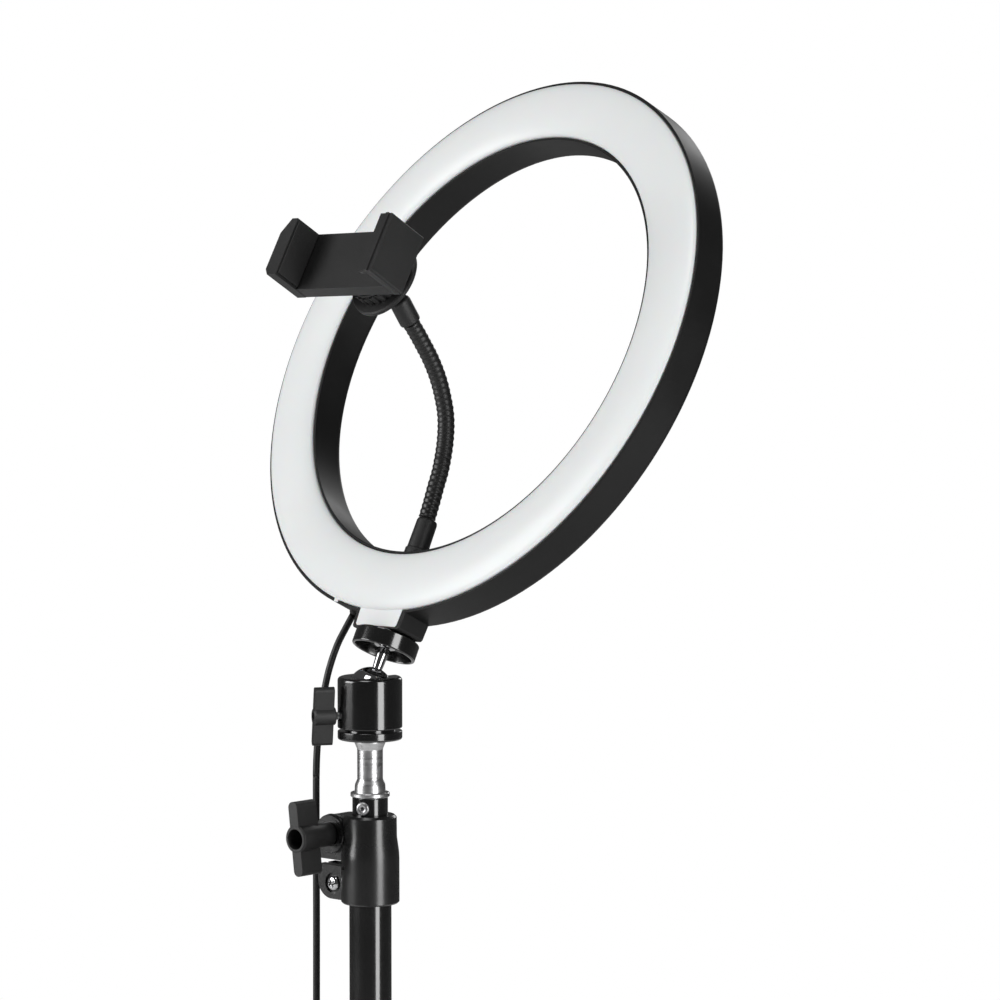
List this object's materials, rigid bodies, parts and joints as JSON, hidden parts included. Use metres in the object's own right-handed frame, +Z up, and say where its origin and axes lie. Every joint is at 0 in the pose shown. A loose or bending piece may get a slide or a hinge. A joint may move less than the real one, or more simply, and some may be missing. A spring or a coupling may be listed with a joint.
{
  "type": "ring light on stand",
  "caption": "Ring lamp with an opal diffuser and a gooseneck phone clamp on a ball head, on a telescoping tripod stand with a USB lead.",
  "frame": {"origin": "on the floor, under the middle of the stand's bounding box", "axes": "+Z up, the lamp faces -Y, +X to the right as seen from the front"},
  "size_m": [0.717, 0.6226, 0.95],
  "materials": {
    "housing": "satin black moulded plastic",
    "opal": "white opal plastic, slight gloss",
    "board": "white circuit board",
    "brass": "turned brass",
    "rubber": "matt black rubber",
    "moulded": "matt textured black plastic",
    "enamel": "glossy black enamel",
    "chrome": "bright chrome plate",
    "steel": "zinc-plated steel",
    "spigot": "bare turned aluminium",
    "cable": "black PVC cable"
  },
  "bodies": {
    "mast_base": {"lower_tube": "enamel", "strut_collar": "enamel", "lower_clamp": "enamel", "lower_clamp_bolt": "steel", "lower_clamp_pinch_screw": "steel", "lamp_lead": "cable", "controller_case": "moulded", "plug_lead": "cable", "plug_tail": "cable", "lead_coil": "cable", "plug_grip": "moulded", "plug_shell": "chrome"},
    "leg_slider": {"leg_collar": "enamel"},
    "leg_slider_knob": {"leg_collar_knob": "moulded"},
    "leg_a": {"leg_1": "enamel", "foot_1": "rubber"},
    "leg_b": {"leg_2": "enamel", "foot_2": "rubber"},
    "leg_c": {"leg_3": "enamel", "foot_3": "rubber"},
    "strut_a": {"strut_1": "enamel"},
    "strut_b": {"strut_2": "enamel"},
    "strut_c": {"strut_3": "enamel"},
    "lower_knob": {"lower_clamp_knob": "moulded"},
    "middle_section": {"middle_tube": "enamel", "middle_bush": "moulded", "upper_clamp": "enamel", "upper_clamp_bolt": "steel", "upper_clamp_pinch_screw": "steel"},
    "upper_knob": {"upper_clamp_knob": "moulded"},
    "top_section": {"top_tube": "enamel", "top_bush": "moulded", "spigot": "spigot", "spigot_rivet": "steel", "ball_base": "enamel"},
    "ball_house": {"ball_housing": "enamel", "ball_shoe": "moulded"},
    "ball_knob": {"wing_knob": "moulded", "wing_screw": "steel"},
    "stud": {"ball_stud": "chrome"},
    "disc": {"lock_disc": "enamel"},
    "ring": {"ring_housing": "housing", "diffuser": "opal", "led_board": "board", "lug_insert": "brass", "cord_gland": "rubber"},
    "neck_base": {"neck_socket": "moulded"},
    "neck_a": {"neck_lower": "moulded"},
    "neck_b": {"neck_middle": "moulded"},
    "neck_c": {"neck_upper": "moulded", "holder_ball": "moulded"},
    "swivel_nut": {"holder_nut": "moulded"},
    "holder": {"holder_plate": "moulded", "fixed_jaw_pad": "rubber", "jaw_spring": "steel"},
    "jaw": {"sliding_jaw": "moulded", "sliding_jaw_pad": "rubber"},
    "power_key": {"power_button": "rubber"},
    "mode_key": {"mode_button": "rubber"},
    "dimmer_key": {"dimmer_rocker": "rubber"}
  },
  "joints": [
    {"name": "leg_collar_slide", "type": "slide", "parent": "mast_base", "child": "leg_slider", "axis": [0, 0, 1], "range_m": [0, 0.183]},
    {"name": "leg_a_hinge", "type": "hinge", "parent": "leg_slider", "child": "leg_a", "pos_m": [0, 0.08088, 0.227], "axis": [1, 0, 0], "range_deg": [-0.5, 54.5]},
    {"name": "strut_a_hinge", "type": "hinge", "parent": "mast_base", "child": "strut_a", "pos_m": [0, 0.08088, 0.042], "axis": [1, 0, 0], "range_deg": [-54.5, 0.5]},
    {"name": "leg_b_hinge", "type": "hinge", "parent": "leg_slider", "child": "leg_b", "pos_m": [0.01905, 0.11388, 0.227], "axis": [-0.5, 0.866, 0], "range_deg": [-0.5, 54.5]},
    {"name": "strut_b_hinge", "type": "hinge", "parent": "mast_base", "child": "strut_b", "pos_m": [0.01905, 0.11388, 0.042], "axis": [-0.5, 0.866, 0], "range_deg": [-54.5, 0.5]},
    {"name": "leg_c_hinge", "type": "hinge", "parent": "leg_slider", "child": "leg_c", "pos_m": [-0.01905, 0.11388, 0.227], "axis": [-0.5, -0.866, 0], "range_deg": [-0.5, 54.5]},
    {"name": "strut_c_hinge", "type": "hinge", "parent": "mast_base", "child": "strut_c", "pos_m": [-0.01905, 0.11388, 0.042], "axis": [-0.5, -0.866, 0], "range_deg": [-54.5, 0.5]},
    {"name": "leg_collar_knob_turn", "type": "hinge", "parent": "leg_slider", "child": "leg_slider_knob", "pos_m": [0, 0.10288, 0.232], "axis": [0.866, -0.5, 0], "range_deg": [-360, 0]},
    {"name": "lower_knob_turn", "type": "hinge", "parent": "mast_base", "child": "lower_knob", "pos_m": [0.00681, 0.08418, 0.4835], "axis": [0.9397, 0.342, 0], "range_deg": [-360, 0]},
    {"name": "middle_slide", "type": "slide", "parent": "mast_base", "child": "middle_section", "axis": [0, 0, 1], "range_m": [-0.098, 0.25], "deforming": ["lamp_lead"]},
    {"name": "upper_knob_turn", "type": "hinge", "parent": "middle_section", "child": "upper_knob", "pos_m": [-0.01725, 0.10058, 0.622], "axis": [0.1323, -0.9912, 0], "range_deg": [-360, 0]},
    {"name": "top_slide", "type": "slide", "parent": "middle_section", "child": "top_section", "axis": [0, 0, 1], "range_m": [0, 0.32]},
    {"name": "pan", "type": "hinge", "parent": "top_section", "child": "ball_house", "pos_m": [0, 0.10288, 0.6859], "axis": [0, 0, 1], "range_deg": [-180, 180]},
    {"name": "ball_knob_turn", "type": "hinge", "parent": "ball_house", "child": "ball_knob", "pos_m": [0, 0.10288, 0.6749], "axis": [-0.421, -0.907, 0], "range_deg": [-360, 0]},
    {"name": "tilt", "type": "hinge", "parent": "ball_house", "child": "stud", "pos_m": [0, 0.10288, 0.6859], "axis": [-0.996, -0.0889, 0], "range_deg": [-66, 45]},
    {"name": "lock_disc_turn", "type": "hinge", "parent": "stud", "child": "disc", "pos_m": [0, 0.10288, 0.6859], "axis": [-0.0404, 0.4522, 0.891], "range_deg": [-360, 0]},
    {"name": "spin", "type": "hinge", "parent": "stud", "child": "ring", "pos_m": [0, 0.10288, 0.6859], "axis": [-0.0404, 0.4522, 0.891], "range_deg": [-170, 170]},
    {"name": "neck_turn", "type": "hinge", "parent": "ring", "child": "neck_base", "pos_m": [-0.00291, 0.13468, 0.75044], "axis": [-0.0404, 0.4522, 0.891], "range_deg": [-45, 45]},
    {"name": "neck_bend_1", "type": "hinge", "parent": "neck_base", "child": "neck_a", "pos_m": [-0.0033, 0.13815, 0.75921], "axis": [0.9991, 0.0097, 0.0404], "range_deg": [-16, 9]},
    {"name": "neck_bend_2", "type": "hinge", "parent": "neck_a", "child": "neck_b", "pos_m": [-0.00452, 0.1483, 0.78687], "axis": [0.9991, 0.0097, 0.0404], "range_deg": [-16, 9]},
    {"name": "neck_bend_3", "type": "hinge", "parent": "neck_b", "child": "neck_c", "pos_m": [-0.00572, 0.14685, 0.81697], "axis": [0.9991, 0.0097, 0.0404], "range_deg": [-16, 9]},
    {"name": "holder_tilt", "type": "hinge", "parent": "neck_c", "child": "swivel_nut", "pos_m": [-0.00721, 0.12089, 0.86004], "axis": [0.9991, 0.0097, 0.0404], "range_deg": [-34, 11]},
    {"name": "holder_turn", "type": "hinge", "parent": "swivel_nut", "child": "holder", "pos_m": [-0.00721, 0.12089, 0.86004], "axis": [0.0489, -0.8595, 0.5088], "range_deg": [-90, 90]},
    {"name": "jaw_slide", "type": "slide", "parent": "holder", "child": "jaw", "axis": [0.9963, 0.0781, 0.0364], "range_m": [0, 0.03], "stiffness_N_per_m": 150, "springref_m": -0.015, "deforming": ["jaw_spring"]},
    {"name": "power_press", "type": "slide", "parent": "mast_base", "child": "power_key", "axis": [0, 0, -1], "range_m": [0, 0.0006], "stiffness_N_per_m": 400, "springref_m": -0.0004},
    {"name": "mode_press", "type": "slide", "parent": "mast_base", "child": "mode_key", "axis": [0, 0, -1], "range_m": [0, 0.0006], "stiffness_N_per_m": 400, "springref_m": -0.0004},
    {"name": "dimmer_rock", "type": "hinge", "parent": "mast_base", "child": "dimmer_key", "pos_m": [-0.13255, 0.03962, 0.0102], "axis": [0.2924, -0.9563, 0], "range_deg": [-3, 3], "stiffness_Nm_per_rad": 0.06}
  ],
  "couplings": [
    {"joint": "leg_a_hinge", "follows": "leg_collar_slide", "rad_per_m": 5.1509},
    {"joint": "strut_a_hinge", "follows": "leg_collar_slide", "rad_per_m": -5.1509},
    {"joint": "leg_b_hinge", "follows": "leg_collar_slide", "rad_per_m": 5.1509},
    {"joint": "strut_b_hinge", "follows": "leg_collar_slide", "rad_per_m": -5.1509},
    {"joint": "leg_c_hinge", "follows": "leg_collar_slide", "rad_per_m": 5.1509},
    {"joint": "strut_c_hinge", "follows": "leg_collar_slide", "rad_per_m": -5.1509},
    {"joint": "neck_bend_2", "follows": "neck_bend_1", "ratio": 1},
    {"joint": "neck_bend_3", "follows": "neck_bend_1", "ratio": 1}
  ]
}
